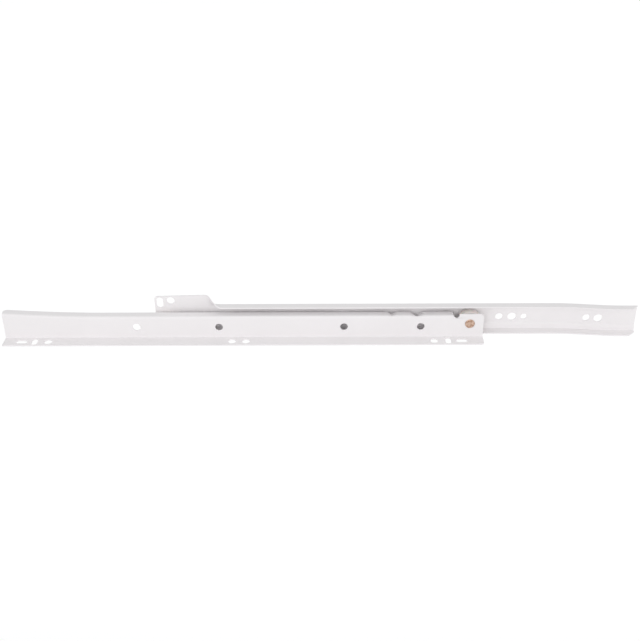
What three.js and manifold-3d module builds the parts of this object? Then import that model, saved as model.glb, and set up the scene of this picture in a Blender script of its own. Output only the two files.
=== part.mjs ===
// A roller drawer slide for the left side of a cabinet: a folded sheet channel that screws to the
// cabinet wall, a folded sheet runner that carries the drawer, and one roller riveted to each.
// Millimetres, +Z up. The origin is the centre of the channel's wall face. +Y points into the
// cabinet wall and +X to the back of the cabinet, so the drawer opens along -X.
import * as THREE from "three";
import { mergeVertices } from "three/addons/utils/BufferGeometryUtils.js";
import Module from "manifold-3d";

// Driving sizes.
const slideLength = 400; // nominal length of both profiles
const sideGap = 12.5; // cabinet wall to drawer side
const sheet = 1.2; // thickness of both folded profiles
const bendRadius = 0.8; // inside radius of every fold
const rollerDiameter = 19.4;
const axleDiameter = 6.4; // the shoulder that a roller turns on
const openAtRest = 125.6; // how far the drawer's profile stands forward of the channel's front

// Clearances.
const trackGap = 0.1; // roller to the track that it rolls on
const rollerPlay = 2.8; // free height over a roller in the channel
const runGap = 0.3; // between parts that turn on each other
const seatGap = 0.1; // between a rivet and the sheet it is set in
const headGap = 1.0; // rivet head to the profile that passes it
const flangeGap = 0.7; // channel flange to the back of the drawer's profile

// Cabinet channel.
const channelExtra = 4; // the channel is this much longer than the nominal length
const topFlange = 8.2; // depth of the upper flange, from the wall face
const joggleDepth = 1.2; // step of the lower wall towards the drawer
const joggleDrop = 6.1; // channel middle down to the top of that step
const joggleFade = 12; // stretch in which the step comes in, behind the front roller
const rampLength = 62; // the falling stretch near the back end
const rampTail = 10; // level stretch after it
const tabHeight = 7.3; // front tab over the channel's top
const tabRise = 1.1; // the tab gets this much taller towards its back edge
const tabLength = 42;
const tabBlend = 14; // stretch in which the tab folds over into the upper flange
const tabCorner = 3;
const cornerCut = 6; // chamfers at the back end of both flanges
const frontAxleInset = 10.4; // front end to the front roller's axle
const tabSlot = { fromFront: 4.4, overTop: 1.4, width: 5.5, height: 9.5 };
const tabHole = { fromFront: 13.5, overTop: 3.3, diameter: 6.4 };
const wallHoleDrop = 0.75; // channel middle down to the screw holes in the wall
const wallHoles = [
  // distance from the back end, diameter
  [115.1, 6],
  [104.3, 7],
  [94.3, 5],
  [41.5, 6],
  [31.4, 7],
];

// Drawer profile.
const runnerFlange = 7.7; // width of the upper flange, which runs on the front roller
const liftRoom = 4.7; // over the runner flange, so that the drawer can be lifted out
const seatFlange = 12.4; // width of the lower flange that the drawer sits on
const webHeight = 20.8;
const noseLength = 80; // stretch at the front where the upper flange rises
const noseRise = 3.2;
const noseCurve = 1.7; // power of that rise
const noseCorner = 3;
const rearAxleInset = 11.4; // back end to the rear roller's axle
const tailLength = 25.4; // back end of the web that has no upper flange
const tailRise = 1.6; // tail over the runner flange
const tailCorner = 3.5;
const relief = { behind: 2.7, width: 4.6, below: 2 }; // notch behind the upper flange's end
const webHoleDrop = 10; // runner flange down to the screw holes in the web
const webHole = 6.3;
const webHolesFromFront = [110.7, 179.5];
const webHolesFromBack = [116.3, 52.3];
const dents = [
  // distance from the back end, width, depth at the free edge
  [76.6, 8.4, 2.4],
  [55.6, 11.7, 4.5],
];
const dentAtFold = 0.25; // share of a dent's depth that is left at the fold
const seatHoles = [
  // distance from the front (f), middle (m) or back (b), size along X, size along Y
  ["f", 15.1, 9.4, 4.6],
  ["f", 26.0, 4.6, 9.0],
  ["f", 37.2, 6.4, 6.4],
  ["m", -9.7, 6.4, 6.4],
  ["m", 1.9, 6.4, 6.4],
  ["b", 41.2, 6.4, 6.4],
  ["b", 29.5, 4.6, 9.0],
  ["b", 18.2, 9.4, 4.6],
];

// Axle rivets, washers and rollers.
const shoulderStep = 0.7; // from the shoulder in to the spigot that is riveted through the sheet
const rivetHead = 8; // diameter of the closed, outer head
const outerHead = 0.45; // its thickness
const recessDepth = 0.6; // pressed recess that takes it
const innerHeadOver = 1.3; // the inner head stands this far past the shoulder
const innerHead = 0.8;
const washerOver = 2.05; // and the washer this far
const washer = 0.8;
const rimWidth = 1.8; // roller's rim, seen from the side
const rimRecess = 1.1; // how far the roller's disc lies behind its rim
const hubWidth = 1.7; // wall of the hub round the bore
const treadCorner = 0.6;

// How fine the round shapes are.
const foldSteps = 3;
const cornerSteps = 5;
const rollerSides = 40;
const rivetSides = 28;
const holeSides = 20;

const spare = 1; // how far a cutter runs past the metal that it cuts
const leastFold = 0.02; // a zone is never quite flat, so that all sections have the same points

// Sizes that follow from them.
const channelInner = rollerDiameter + rollerPlay;
const channelTop = channelInner / 2 + sheet;
const channelFront = -(slideLength + channelExtra) / 2;
const channelBack = -channelFront;
const bottomFlange = sideGap - sheet - flangeGap;
const rampDrop = rollerPlay - 2 * trackGap;
const runnerTop = channelInner / 2 - liftRoom;
const seatBottom = runnerTop - webHeight;
const drawerFront = channelFront - openAtRest;
const drawerBack = drawerFront + slideLength;
const rollerRadius = rollerDiameter / 2;
const frontAxle = { x: channelFront + frontAxleInset, z: runnerTop - sheet - trackGap - rollerRadius };
const rearAxle = { x: drawerBack - rearAxleInset, z: trackGap + rollerRadius - channelInner / 2 };
const washerStart = sheet + runGap; // depths from a profile's outer face
const rollerStart = washerStart + washer + runGap;
const rollerWidth = sideGap - sheet - headGap - innerHead - runGap - rollerStart;
const innerHeadStart = rollerStart + rollerWidth + runGap;
const shoulderRadius = axleDiameter / 2;
const spigotRadius = shoulderRadius - shoulderStep;
const washerRadius = shoulderRadius + washerOver;

const wasm = await Module();
wasm.setup();

// A closed geometry as a solid for joining and cutting.
function solid(geometry) {
  const bare = geometry.clone();
  bare.deleteAttribute("normal");
  bare.deleteAttribute("uv");
  const merged = mergeVertices(bare, 1e-4);
  return new wasm.Manifold(
    new wasm.Mesh({
      numProp: 3,
      vertProperties: merged.attributes.position.array,
      triVerts: new Uint32Array(merged.index.array),
    }),
  );
}

// A solid back as a geometry.
function geometryOf(body) {
  const { numProp, numVert, vertProperties, triVerts } = body.getMesh();
  const positions = new Float32Array(numVert * 3);
  for (let i = 0; i < numVert; i++) {
    positions.set(vertProperties.subarray(i * numProp, i * numProp + 3), i * 3);
  }
  const geometry = new THREE.BufferGeometry();
  geometry.setAttribute("position", new THREE.BufferAttribute(positions, 3));
  geometry.setIndex(new THREE.BufferAttribute(triVerts, 1));
  geometry.computeVertexNormals();
  return geometry;
}

// Points down the middle of a folded sheet, in the YZ plane, from a start and a heading. A straight
// zone has a length, and a fold has an arc length and the angle that it turns through.
function walk(start, heading, zones) {
  let [y, z] = start;
  const points = [];
  const put = () => points.push({ y, z, ny: -Math.sin(heading), nz: Math.cos(heading) });
  put();
  for (const { length, arc, turn = 0 } of zones) {
    const steps = arc ? foldSteps : 1;
    const part = turn / steps / 2;
    const chord = ((arc ?? length) / steps) * (part ? Math.sin(part) / part : 1);
    for (let i = 0; i < steps; i++) {
      heading += part;
      y += chord * Math.cos(heading);
      z += chord * Math.sin(heading);
      heading += part;
      put();
    }
  }
  return points;
}

// The closed outline of a sheet that runs both ways from one point of its web.
function outline(up, down) {
  const middle = up
    .slice(1)
    .reverse()
    .map((p) => ({ y: p.y, z: p.z, ny: -p.ny, nz: -p.nz }))
    .concat(down);
  const side = (s) => middle.map((p) => [p.y + (s * p.ny * sheet) / 2, p.z + (s * p.nz * sheet) / 2]);
  return side(1).reverse().concat(side(-1));
}

// A folded profile: the outline of one section is extruded in unit steps, and each step's points
// are then put where the section at that station has them.
function foldedProfile(stations, sectionAt) {
  const sections = stations.map(sectionAt);
  const base = sections[sections.length - 1];
  const shape = new THREE.Shape(base.map(([y, z]) => new THREE.Vector2(y, z)));
  const steps = stations.length - 1;
  const geometry = new THREE.ExtrudeGeometry(shape, { depth: steps, steps, bevelEnabled: false });
  const name = (y, z) => `${y.toFixed(3)} ${z.toFixed(3)}`;
  const order = new Map(base.map(([y, z], i) => [name(y, z), i]));
  const position = geometry.attributes.position;
  for (let i = 0; i < position.count; i++) {
    const station = Math.round(position.getZ(i));
    const point = order.get(name(position.getX(i), position.getY(i)));
    const [y, z] = sections[station][point];
    position.setXYZ(i, stations[station], y, z);
  }
  return solid(geometry);
}

// A prism with an outline in the XZ plane, from y0 to y1.
function prismAlongY(shape, y0, y1) {
  const geometry = new THREE.ExtrudeGeometry(shape, { depth: y1 - y0, bevelEnabled: false });
  return solid(geometry.rotateX(Math.PI / 2).translate(0, y1, 0));
}

// A prism with an outline in the XY plane, from z0 to z1.
function prismAlongZ(shape, z0, z1) {
  const geometry = new THREE.ExtrudeGeometry(shape, { depth: z1 - z0, bevelEnabled: false });
  return solid(geometry.translate(0, 0, z0));
}

function polygon(points) {
  return new THREE.Shape(points.map(([x, y]) => new THREE.Vector2(x, y)));
}

// A round hole, or a slot with round ends, width along the first axis and height along the second.
function slotShape(x, y, width, height) {
  const radius = Math.min(width, height) / 2;
  const dx = width / 2 - radius;
  const dy = height / 2 - radius;
  const points = [];
  for (let i = 0; i < holeSides; i++) {
    const angle = (2 * Math.PI * (i + 0.5)) / holeSides;
    const [c, s] = [Math.cos(angle), Math.sin(angle)];
    points.push([x + radius * c + dx * Math.sign(c), y + radius * s + dy * Math.sign(s)]);
  }
  return polygon(points);
}

// What a corner loses when it is rounded: the corner is at (x, y) and the metal lies towards
// (x + sx, y + sy), where sx and sy are 1 or -1.
function cornerWaste(x, y, sx, sy, radius) {
  const points = [
    [x + sx * radius, y],
    [x + sx * radius, y - sy * spare],
    [x - sx * spare, y - sy * spare],
    [x - sx * spare, y + sy * radius],
    [x, y + sy * radius],
  ];
  for (let i = 1; i < cornerSteps; i++) {
    const angle = (Math.PI / 2) * (i / cornerSteps);
    points.push([x + sx * radius * (1 - Math.cos(angle)), y + sy * radius * (1 - Math.sin(angle))]);
  }
  return polygon(sx * sy > 0 ? points.reverse() : points);
}

const smooth = (t) => {
  const u = THREE.MathUtils.clamp(t, 0, 1);
  return u * u * (3 - 2 * u);
};

// Even stations after one place, up to and including another.
function between(from, to, count) {
  return Array.from({ length: count }, (_, i) => from + ((to - from) * (i + 1)) / count);
}

// Stations in order, each one once.
function inOrder(stations) {
  return stations.sort((a, b) => a - b).filter((x, i, all) => i === 0 || x - all[i - 1] > 0.01);
}

const foldArc = ((bendRadius + sheet / 2) * Math.PI) / 2;
const foldReach = bendRadius + sheet; // a fold's outer radius
const quarter = Math.PI / 2;

// The recess and hole that a rivet sets in, on an axle at (x, z), from the outer face at y.
function rivetSeat(x, z, y, inwards) {
  const holeWidth = 2 * (spigotRadius + seatGap);
  const recessWidth = rivetHead + 4 * seatGap;
  const hole = slotShape(x, z, holeWidth, holeWidth);
  const recess = slotShape(x, z, recessWidth, recessWidth);
  const floor = y + inwards * recessDepth;
  const far = y + inwards * (sheet + spare);
  const near = y - inwards * spare;
  return prismAlongY(hole, Math.min(near, far), Math.max(near, far)).add(
    prismAlongY(recess, Math.min(near, floor), Math.max(near, floor)),
  );
}

function cabinetProfile() {
  const rampStart = channelBack - rampTail - rampLength;
  const rampAt = (x) => rampDrop * smooth((x - rampStart) / rampLength);
  const tabEnd = channelFront + tabLength;
  const flangeStart = tabEnd + tabBlend;
  const cutEnd = frontAxle.x + rollerRadius + headGap;
  const joggleFull = cutEnd + joggleFade;
  const joggleArc = ((bendRadius + sheet / 2) * Math.PI) / 4;
  const joggleSlant = Math.max(0.1, joggleDepth * Math.SQRT2 - joggleArc);
  const stations = inOrder([
    channelFront,
    cutEnd,
    ...between(cutEnd, joggleFull, 3),
    tabEnd,
    ...between(tabEnd, flangeStart, 5),
    rampStart,
    ...between(rampStart, rampStart + rampLength, 8),
    channelBack,
  ]);
  const webTop = channelTop - foldReach;
  const section = (x) => {
    const folded = Math.max(leastFold, smooth((x - tabEnd) / tabBlend));
    const stepped = Math.max(leastFold, smooth((x - cutEnd) / joggleFade));
    const onTab = THREE.MathUtils.clamp((x - channelFront) / tabLength, 0, 1);
    const tabFlange = tabHeight + foldReach - foldArc + tabRise * onTab;
    const up = walk([-sheet / 2, webTop], quarter, [
      { arc: foldArc, turn: quarter * folded },
      { length: THREE.MathUtils.lerp(tabFlange, topFlange - foldReach, folded) },
    ]);
    const joggleTurn = (quarter / 2) * stepped;
    const down = walk([-sheet / 2, webTop], -quarter, [
      { length: webTop + joggleDrop },
      { arc: joggleArc, turn: -joggleTurn },
      { length: joggleSlant },
      { arc: joggleArc, turn: joggleTurn },
    ]);
    const low = down[down.length - 1];
    const rest = walk([low.y, low.z], -quarter, [
      { length: low.z + channelTop - foldReach },
      { arc: foldArc, turn: -quarter },
      { length: bottomFlange - foldReach + sheet / 2 + low.y },
    ]);
    return outline(up, down.concat(rest.slice(1))).map(([y, z]) => [y, z - rampAt(x)]);
  };
  let body = foldedProfile(stations, section);

  const throughWall = (shape) => {
    body = body.subtract(prismAlongY(shape, -sheet - spare, spare));
  };
  const slotZ = channelTop + tabSlot.overTop;
  const holeZ = channelTop + tabHole.overTop;
  throughWall(slotShape(channelFront + tabSlot.fromFront, slotZ, tabSlot.width, tabSlot.height));
  throughWall(slotShape(channelFront + tabHole.fromFront, holeZ, tabHole.diameter, tabHole.diameter));
  throughWall(cornerWaste(channelFront, channelTop + tabHeight, 1, -1, tabCorner));
  for (const [fromBack, diameter] of wallHoles) {
    const x = channelBack - fromBack;
    throughWall(slotShape(x, -wallHoleDrop - rampAt(x), diameter, diameter));
  }
  body = body.subtract(rivetSeat(frontAxle.x, frontAxle.z, 0, -1));

  // The front roller stands below the channel, so the lower fold and flange start behind it.
  const under = foldReach - channelTop;
  const bottom = -channelTop - spare;
  const front = channelFront - spare;
  const away = polygon([
    [front, bottom],
    [cutEnd, bottom],
    [cutEnd, under],
    [front, under],
  ]);
  body = body.subtract(prismAlongY(away, -sideGap, spare));

  // Chamfers at the back end of both flanges.
  const chamfer = (depth) => {
    const tip = -depth - spare;
    const back = channelBack + spare;
    return polygon([
      [channelBack - cornerCut - spare, tip],
      [back, tip],
      [back, -depth + cornerCut + spare],
    ]);
  };
  const lowest = -channelTop - rampDrop - spare;
  body = body.subtract(prismAlongZ(chamfer(topFlange), 0, channelTop + spare));
  return body.subtract(prismAlongZ(chamfer(bottomFlange), lowest, lowest + sheet + 2 * spare));
}

function drawerProfile() {
  const flangeEnd = drawerBack - tailLength;
  const reliefX = flangeEnd + relief.behind;
  const nose = between(drawerFront, drawerFront + noseLength, 8);
  const acrossDent = [-0.5, -0.28, 0, 0.28, 0.5];
  const dentStations = dents.flatMap(([fromBack, width]) =>
    acrossDent.map((share) => drawerBack - fromBack + share * width),
  );
  const stations = inOrder([drawerFront, ...nose, ...dentStations, drawerBack]);
  const webMiddle = (runnerTop + seatBottom) / 2;
  const outerFace = -sideGap;
  const dentAt = (x) =>
    dents.reduce((sum, [fromBack, width, depth]) => {
      const off = Math.abs(x - (drawerBack - fromBack)) / (width / 2);
      return sum + (off < 1 ? depth * (1 - smooth(off)) : 0);
    }, 0);
  const section = (x) => {
    const ahead = THREE.MathUtils.clamp(1 - (x - drawerFront) / noseLength, 0, 1);
    const rise = noseRise * ahead ** noseCurve;
    const up = walk([outerFace + sheet / 2, webMiddle], quarter, [
      { length: runnerTop - foldReach - webMiddle + rise },
      { arc: foldArc, turn: -quarter },
      { length: runnerFlange - foldReach },
    ]);
    const down = walk([outerFace + sheet / 2, webMiddle], -quarter, [
      { length: webMiddle - seatBottom - bendRadius - sheet },
      { arc: foldArc, turn: -quarter },
      { length: seatFlange - bendRadius },
    ]);
    // A dent is deepest at the flange's free edge, and has died out at the web.
    const depth = dentAt(x);
    const span = runnerFlange - foldReach;
    return outline(up, down).map(([y, z]) => {
      const onFlange = Math.min(1, (y - outerFace - foldReach) / span);
      const share = Math.max(0, dentAtFold + (1 - dentAtFold) * onFlange);
      return [y, z > webMiddle ? z - depth * share : z];
    });
  };
  let body = foldedProfile(stations, section);

  // Behind the runner flange the web stands on its own, as a tail plate that the axle is set in.
  const tailTop = runnerTop + tailRise;
  const foldBottom = runnerTop - foldReach;
  const throughFlange = (shape) => {
    const flangeBack = outerFace + runnerFlange;
    body = body.subtract(prismAlongY(shape, outerFace - spare, flangeBack + spare));
  };
  const throughWeb = (shape) => {
    body = body.subtract(prismAlongY(shape, outerFace - spare, outerFace + sheet + spare));
  };
  const upright = (x0, x1, z0, z1) =>
    polygon([
      [x0, z0],
      [x1, z0],
      [x1, z1],
      [x0, z1],
    ]);
  throughFlange(upright(flangeEnd, drawerBack + spare, foldBottom, runnerTop + spare));
  const tail = upright(flangeEnd, drawerBack, foldBottom - spare, tailTop);
  body = body.add(prismAlongY(tail, outerFace, outerFace + sheet));
  throughWeb(cornerWaste(drawerBack, tailTop, -1, -1, tailCorner));
  const notchTop = tailTop + relief.width;
  const notchBottom = runnerTop - relief.below;
  const notchMiddle = (notchTop + notchBottom) / 2;
  throughFlange(slotShape(reliefX, notchMiddle, relief.width, notchTop - notchBottom));
  throughFlange(upright(flangeEnd - spare, reliefX, runnerTop, notchTop));

  for (const fromFront of webHolesFromFront) {
    throughWeb(slotShape(drawerFront + fromFront, runnerTop - webHoleDrop, webHole, webHole));
  }
  for (const fromBack of webHolesFromBack) {
    throughWeb(slotShape(drawerBack - fromBack, runnerTop - webHoleDrop, webHole, webHole));
  }
  body = body.subtract(rivetSeat(rearAxle.x, rearAxle.z, outerFace, 1));

  const places = {
    f: (distance) => drawerFront + distance,
    m: (distance) => (drawerFront + drawerBack) / 2 + distance,
    b: (distance) => drawerBack - distance,
  };
  const seatMiddle = outerFace - (seatFlange + bendRadius) / 2;
  for (const [end, distance, alongX, alongY] of seatHoles) {
    const shape = slotShape(places[end](distance), seatMiddle, alongX, alongY);
    body = body.subtract(prismAlongZ(shape, seatBottom - spare, seatBottom + sheet + spare));
  }

  // Rounded corners: the upper flange at the front, and the lower flange at the back.
  const noseWaste = cornerWaste(drawerFront, outerFace + runnerFlange, 1, -1, noseCorner);
  body = body.subtract(prismAlongZ(noseWaste, foldBottom, runnerTop + noseRise + spare));
  const seatWaste = cornerWaste(drawerBack, outerFace - seatFlange, -1, 1, noseCorner);
  return body.subtract(prismAlongZ(seatWaste, seatBottom - spare, seatBottom + sheet + spare));
}

// Turned pieces stand on the Y axis, with depths counted inwards from the sheet's outer face.
function turned(profile, sides) {
  return new THREE.LatheGeometry(
    profile.map(([radius, depth]) => new THREE.Vector2(radius, depth)),
    sides,
  );
}

function rivetGeometry() {
  const head = rivetHead / 2;
  const headSeat = recessDepth - seatGap;
  const headTop = headSeat - outerHead;
  const dimple = head / 4;
  const inner = shoulderRadius + innerHeadOver;
  const end = innerHeadStart + innerHead;
  return turned(
    [
      [0, headTop + outerHead * 0.5],
      [dimple, headTop + outerHead * 0.2],
      [dimple * 1.5, headTop],
      [head * 0.8, headTop + outerHead * 0.3],
      [head, headSeat - outerHead * 0.2],
      [head, headSeat],
      [spigotRadius, headSeat],
      [spigotRadius, sheet + seatGap],
      [shoulderRadius, sheet + seatGap],
      [shoulderRadius, innerHeadStart],
      [inner, innerHeadStart],
      [inner, end - innerHead * 0.4],
      [inner - innerHead * 0.4, end],
      [0, end],
    ],
    rivetSides,
  );
}

function washerGeometry() {
  const bore = shoulderRadius + runGap;
  const washerEnd = washerStart + washer;
  return turned(
    [
      [bore, washerStart],
      [washerRadius, washerStart],
      [washerRadius, washerEnd],
      [bore, washerEnd],
      [bore, washerStart],
    ],
    rivetSides,
  );
}

function rollerGeometry() {
  const a = rollerStart;
  const b = rollerStart + rollerWidth;
  const bore = shoulderRadius + runGap;
  const hub = bore + hubWidth;
  const rim = rollerRadius - rimWidth;
  return turned(
    [
      [bore, a],
      [hub, a],
      [hub, a + rimRecess],
      [rim, a + rimRecess],
      [rim, a],
      [rollerRadius - treadCorner, a],
      [rollerRadius, a + treadCorner],
      [rollerRadius, b - treadCorner],
      [rollerRadius - treadCorner, b],
      [rim, b],
      [rim, b - rimRecess],
      [hub, b - rimRecess],
      [hub, b],
      [bore, b],
      [bore, a],
    ],
    rollerSides,
  );
}

const coating = { color: 0xf1f0ee, roughness: 0.38, metalness: 0 }; // white powder coat
const nylon = { color: 0xf3efec, roughness: 0.45, metalness: 0 };
const passivated = { color: 0xc79c80, roughness: 0.35, metalness: 1 };
const zinc = { color: 0xb9bcc0, roughness: 0.35, metalness: 1 };

function mesh(name, geometry, look) {
  const piece = new THREE.Mesh(geometry, new THREE.MeshStandardMaterial(look));
  piece.name = name;
  return piece;
}

// One axle with its roller: the group stands at the outer face of the profile that holds it.
function axleGroup(end, x, y, z, turn) {
  const group = new THREE.Group();
  group.position.set(x, y, z);
  group.rotation.x = turn;
  group.add(mesh(`${end}_axle_rivet`, rivetGeometry(), passivated));
  group.add(mesh(`${end}_washer`, washerGeometry(), zinc));
  group.add(mesh(`${end}_roller`, rollerGeometry(), nylon));
  return group;
}

const slide = new THREE.Group();
slide.name = "drawer_slide";
slide.add(mesh("cabinet_profile", geometryOf(cabinetProfile()), coating));
slide.add(mesh("drawer_profile", geometryOf(drawerProfile()), coating));
slide.add(axleGroup("front", frontAxle.x, 0, frontAxle.z, Math.PI));
slide.add(axleGroup("rear", rearAxle.x, -sideGap, rearAxle.z, 0));

export default slide;
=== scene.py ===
import math

import bmesh
import bpy
import numpy as np
from bpy.props import FloatProperty, FloatVectorProperty, IntProperty, PointerProperty
from mathutils import Euler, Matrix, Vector


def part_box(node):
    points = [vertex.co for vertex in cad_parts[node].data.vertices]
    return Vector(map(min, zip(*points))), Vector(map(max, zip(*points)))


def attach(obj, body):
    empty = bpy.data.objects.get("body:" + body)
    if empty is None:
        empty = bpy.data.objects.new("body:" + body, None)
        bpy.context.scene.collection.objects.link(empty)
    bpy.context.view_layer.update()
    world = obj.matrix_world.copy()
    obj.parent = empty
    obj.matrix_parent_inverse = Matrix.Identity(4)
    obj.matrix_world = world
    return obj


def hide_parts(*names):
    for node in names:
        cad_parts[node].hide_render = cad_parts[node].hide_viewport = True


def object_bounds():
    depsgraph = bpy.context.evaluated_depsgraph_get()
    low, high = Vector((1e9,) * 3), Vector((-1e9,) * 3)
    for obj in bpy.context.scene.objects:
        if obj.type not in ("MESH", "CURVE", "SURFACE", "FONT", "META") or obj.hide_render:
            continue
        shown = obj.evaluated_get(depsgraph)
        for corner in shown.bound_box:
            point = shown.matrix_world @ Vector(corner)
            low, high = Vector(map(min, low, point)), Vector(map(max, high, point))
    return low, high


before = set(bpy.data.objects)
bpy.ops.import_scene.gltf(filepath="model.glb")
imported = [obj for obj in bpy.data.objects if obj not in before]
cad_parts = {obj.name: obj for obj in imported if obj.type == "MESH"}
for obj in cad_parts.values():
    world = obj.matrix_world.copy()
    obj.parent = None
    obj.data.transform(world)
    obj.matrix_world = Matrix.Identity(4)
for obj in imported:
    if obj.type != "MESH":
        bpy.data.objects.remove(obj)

bl_info = {
    "name": "Roller drawer slide",
    "version": (1, 0, 0),
    "blender": (4, 5, 0),
    "location": "3D View > Sidebar > Drawer Slide",
    "description": "Builds the visible pieces of a side-mounted roller drawer slide on its fixed frame",
    "category": "Object",
}

# +X is the back of the cabinet, +Y goes into its wall and +Z is up. All lengths are in metres.
MM = 0.001
QUARTER = math.pi / 2
LEAST_FOLD = 0.02  # a flat stretch keeps this share of its fold, as the frame's own sections do
SPARE = 1 * MM  # how far a cutter runs past the metal that it cuts
SEAT_GAP = 0.1 * MM  # between a rivet and the sheet that it is set in
ROLLER_ROOM = 1 * MM  # from the front roller to the channel's lower fold
NOSE_CURVE = 1.7  # power of the runner flange's rise
TIP_EASE = 1.15  # power that eases the tip of a pressed dent
JOGGLE_STEPS = 4  # faces across one bend of the channel's step
EDGE_STEPS = 3  # faces across a rounded sheet edge
TURNED_CORNER = 60  # an edge of a turned piece is rounded past this angle in degrees
RING_PERIOD = 0.314  # a Wave texture's rings stand this far apart at a Scale of 1
FLOOR_REACH = 8.0  # half the width of the studio floor
GLOW_FADE = 0.7  # the floor's glow comes in from this far in front of the slide to this far behind
CAD_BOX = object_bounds()
CHANNEL_LOW, CHANNEL_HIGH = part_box("cabinet_profile")
RUNNER_LOW, RUNNER_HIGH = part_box("drawer_profile")


def linear(hex_colour):
    """An sRGB hex colour as linear red, green and blue."""
    share = np.array([int(hex_colour[i : i + 2], 16) for i in (0, 2, 4)]) / 255
    low = share / 12.92
    high = ((share + 0.055) / 1.055) ** 2.4
    return tuple(float(x) for x in np.where(share <= 0.04045, low, high))


def length(name, description, millimetres):
    """A length that a user can change."""
    return FloatProperty(
        name=name, description=description, default=millimetres * MM, unit="LENGTH", precision=5
    )


def colour(name, description, hex_colour):
    """A colour that a user can change."""
    return FloatVectorProperty(
        name=name, description=description, default=linear(hex_colour), subtype="COLOR", min=0, max=1
    )


class SlideSheet(bpy.types.PropertyGroup):
    """Sizes that both folded profiles share."""

    thickness: length("Sheet", "Thickness of both profiles", 1.2)
    bend: length("Bend radius", "Inside radius of every fold", 0.8)
    edge: length("Edge rounding", "How far the coating rounds a cut edge", 0.16)
    fold_steps: IntProperty(name="Fold steps", description="Faces across one fold", default=8, min=3)
    hole_sides: IntProperty(name="Hole sides", description="Sides of a round hole", default=48, min=12)


class SlideChannel(bpy.types.PropertyGroup):
    """Sizes of the channel on the cabinet wall."""

    inner_height: length("Inner height", "Between the channel's two flanges", 22.2)
    top_flange: length("Upper flange", "Depth from the wall face", 8.2)
    bottom_flange: length("Lower flange", "Depth from the wall face", 10.6)
    joggle_depth: length("Step depth", "Step of the lower wall towards the drawer", 1.2)
    joggle_drop: length("Step height", "Channel's middle down to the top of the step", 6.1)
    joggle_fade: length("Step run-in", "Stretch in which the step comes in", 12)
    ramp_length: length("Ramp", "Falling stretch near the back end", 62)
    ramp_tail: length("Ramp tail", "Level stretch behind the ramp", 10)
    ramp_drop: length("Ramp drop", "How far the ramp falls", 2.6)
    tab_height: length("Tab height", "Front tab over the channel's top", 7.3)
    tab_rise: length("Tab rise", "How much taller the tab gets towards its back edge", 1.1)
    tab_length: length("Tab length", "Length of the front tab", 42)
    tab_blend: length("Tab run-out", "Stretch in which the tab folds into the flange", 14)
    tab_corner: length("Tab corner", "Radius of the tab's front corner", 3)
    corner_cut: length("Corner cut", "Chamfers at the back end", 6)


class SlideRunner(bpy.types.PropertyGroup):
    """Sizes of the profile on the drawer."""

    runner_flange: length("Runner flange", "Width of the flange that runs on the roller", 7.7)
    seat_flange: length("Seat flange", "Width of the flange that the drawer sits on", 12.4)
    web_height: length("Web height", "Over both flanges", 20.8)
    nose_length: length("Nose", "Stretch at the front where the runner flange rises", 80)
    nose_rise: length("Nose rise", "How far it rises", 3.2)
    nose_corner: length("Corner", "Radius of the rounded corners", 3)
    tail_length: length("Tail length", "Plain stretch of the web at the back", 25.4)
    tail_rise: length("Tail rise", "Tail over the runner flange", 1.6)
    tail_corner: length("Tail corner", "Radius of the tail's upper corner", 3.5)
    relief_behind: length("Notch place", "From the flange's end to the notch", 2.7)
    relief_width: length("Notch width", "Width of the notch", 4.6)
    relief_below: length("Notch depth", "Below the runner flange", 2)


class SlideAxle(bpy.types.PropertyGroup):
    """Sizes of the rollers, their rivets and washers."""

    shoulder: length("Shoulder", "Diameter that the roller turns on", 6.4)
    spigot: length("Spigot", "Diameter that passes through the sheet", 5)
    head: length("Outer head", "Diameter of the closed head", 8)
    head_depth: length("Head height", "Thickness of the closed head", 0.45)
    seat: length("Seat depth", "Depth of the pressed recess", 0.6)
    dish: length("Dish", "Radius of the shallow dish round the recess", 5.9)
    dish_depth: length("Dish depth", "Depth of that dish at the recess", 0.16)
    inner_head: length("Inner head", "Diameter of the inner head", 9)
    inner_depth: length("Inner head height", "Thickness of the inner head", 0.8)
    washer: length("Washer", "Diameter of the washer", 10.5)
    bore_play: length("Play", "Between parts that turn on each other", 0.3)
    rim: length("Rim", "Width of the roller's rim from the side", 1.8)
    hub: length("Hub wall", "Wall of the hub round the bore", 1.7)
    disc_recess: length("Disc recess", "How far the disc lies behind the rim", 1.1)
    tread_round: length("Tread rounding", "Radius of the tread's edges", 0.6)
    sides: IntProperty(name="Sides", description="Sides of a turned piece", default=96, min=24)


class SlideFinish(bpy.types.PropertyGroup):
    """Colours of the finishes."""

    coat: colour("Powder coat", "White powder coat in full light", "F5F2F3")
    coat_thin: colour("Powder coat, thin", "The same coat where it lies thinner", "F3F0F1")
    nylon: colour("Nylon", "Natural white nylon", "F1ECE8")
    nylon_deep: colour("Nylon, thick", "Nylon where it is thicker", "E9E1DA")
    rivet: colour("Passivated zinc", "Copper-brown passivated zinc", "EFD2BE")
    rivet_dark: colour("Passivated zinc, dark", "The same film where it is thicker", "B58C74")
    washer: colour("Zinc", "Bright zinc plate", "C9CCD0")
    washer_dark: colour("Zinc, dull", "Zinc plate where it has dulled", "A3A6AB")


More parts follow.
